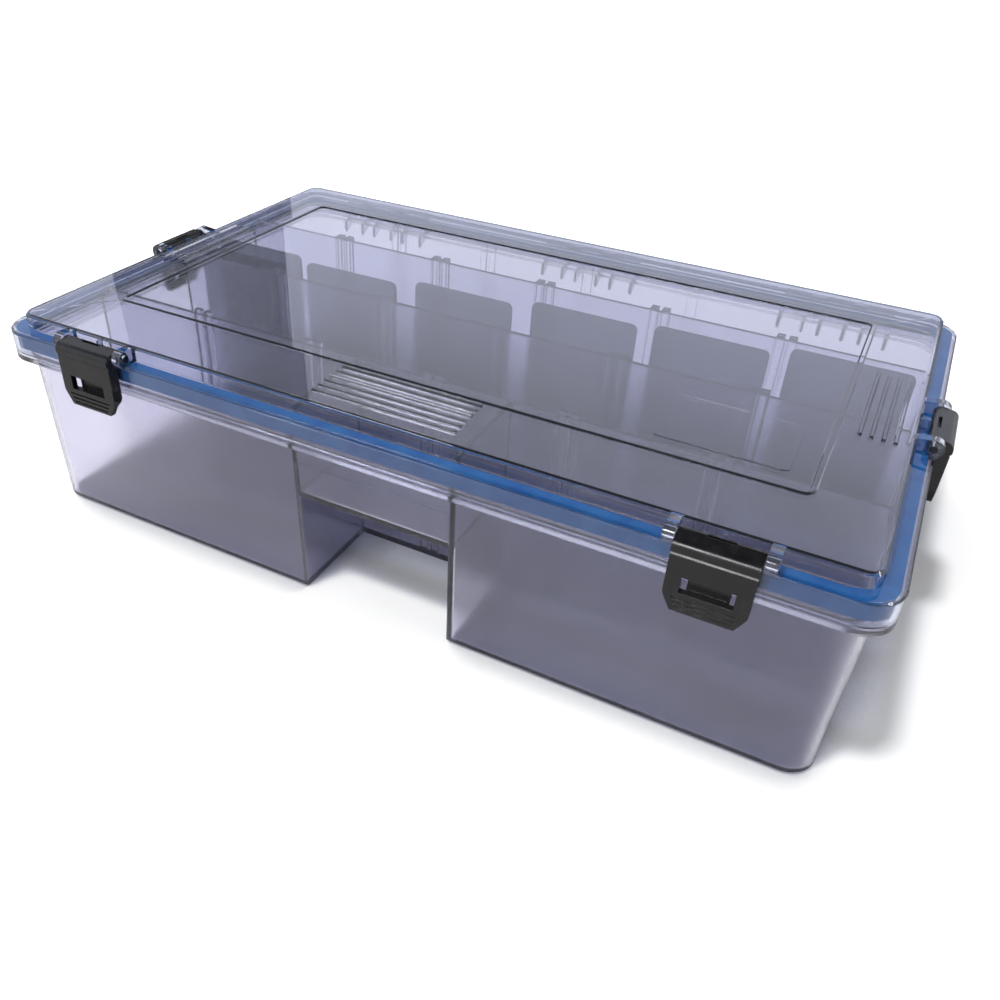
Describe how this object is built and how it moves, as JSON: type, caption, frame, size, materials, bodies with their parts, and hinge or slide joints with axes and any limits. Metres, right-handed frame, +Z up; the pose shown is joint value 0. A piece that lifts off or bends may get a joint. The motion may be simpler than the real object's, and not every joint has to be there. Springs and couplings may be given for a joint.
{
  "type": "waterproof tackle box",
  "caption": "Shallow rectangular tackle box with a hinged clear lid, a soft perimeter seal, side and front snap latches, fixed long rows and loose dividers",
  "frame": {"origin": "the middle of the underside of the tub's base, on the surface it stands on", "axes": "+X along the length to the right of the latched front, +Y from the latched front to the hinges, +Z up"},
  "size_m": [0.369, 0.2386, 0.0919],
  "materials": {
    "tub_shell": "frosted smoke-grey translucent polypropylene",
    "lid_clear": "clear smoke-grey moulded lid, glossy",
    "seal": "soft blue silicone seal",
    "latch": "black moulded plastic, satin",
    "pin": "dark plain pin",
    "divider": "smoke-grey translucent plate"
  },
  "bodies": {
    "tub": {"tub": "tub_shell", "hinge_pin_left": "pin", "hinge_pin_middle": "pin", "hinge_pin_right": "pin"},
    "lid": {"lid": "lid_clear", "lid_seal": "seal", "latch_pin_front_left": "pin", "latch_pin_front_right": "pin", "latch_pin_left": "pin", "latch_pin_right": "pin"},
    "latch_front_left": {"latch_front_left": "latch"},
    "latch_front_right": {"latch_front_right": "latch"},
    "latch_left": {"latch_left": "latch"},
    "latch_right": {"latch_right": "latch"},
    "divider_1": {"divider_1": "divider"},
    "divider_2": {"divider_2": "divider"},
    "divider_3": {"divider_3": "divider"},
    "divider_4": {"divider_4": "divider"},
    "divider_5": {"divider_5": "divider"},
    "divider_6": {"divider_6": "divider"},
    "divider_7": {"divider_7": "divider"}
  },
  "joints": [
    {"name": "lid_hinge", "type": "hinge", "parent": "tub", "child": "lid", "pos_m": [0, 0.1172, 0.0793], "axis": [-1, 0, 0], "range_deg": [0, 115]},
    {"name": "latch_front_left_pivot", "type": "hinge", "parent": "lid", "child": "latch_front_left", "pos_m": [-0.1263, -0.1115, 0.0874], "axis": [-1, 0, 0], "range_deg": [0, 95]},
    {"name": "latch_front_right_pivot", "type": "hinge", "parent": "lid", "child": "latch_front_right", "pos_m": [0.1263, -0.1115, 0.0874], "axis": [-1, 0, 0], "range_deg": [0, 95]},
    {"name": "latch_left_pivot", "type": "hinge", "parent": "lid", "child": "latch_left", "pos_m": [-0.178, 0, 0.0874], "axis": [0, 1, 0], "range_deg": [0, 95]},
    {"name": "latch_right_pivot", "type": "hinge", "parent": "lid", "child": "latch_right", "pos_m": [0.178, 0, 0.0874], "axis": [0, -1, 0], "range_deg": [0, 95]},
    {"name": "divider_1_lift", "type": "slide", "parent": "tub", "child": "divider_1", "axis": [0, 0, 1], "range_m": [0, 0.0012]},
    {"name": "divider_2_lift", "type": "slide", "parent": "tub", "child": "divider_2", "axis": [0, 0, 1], "range_m": [0, 0.0012]},
    {"name": "divider_3_lift", "type": "slide", "parent": "tub", "child": "divider_3", "axis": [0, 0, 1], "range_m": [0, 0.0012]},
    {"name": "divider_4_lift", "type": "slide", "parent": "tub", "child": "divider_4", "axis": [0, 0, 1], "range_m": [0, 0.0012]},
    {"name": "divider_5_lift", "type": "slide", "parent": "tub", "child": "divider_5", "axis": [0, 0, 1], "range_m": [0, 0.0012]},
    {"name": "divider_6_lift", "type": "slide", "parent": "tub", "child": "divider_6", "axis": [0, 0, 1], "range_m": [0, 0.0012]},
    {"name": "divider_7_lift", "type": "slide", "parent": "tub", "child": "divider_7", "axis": [0, 0, 1], "range_m": [0, 0.0012]}
  ]
}
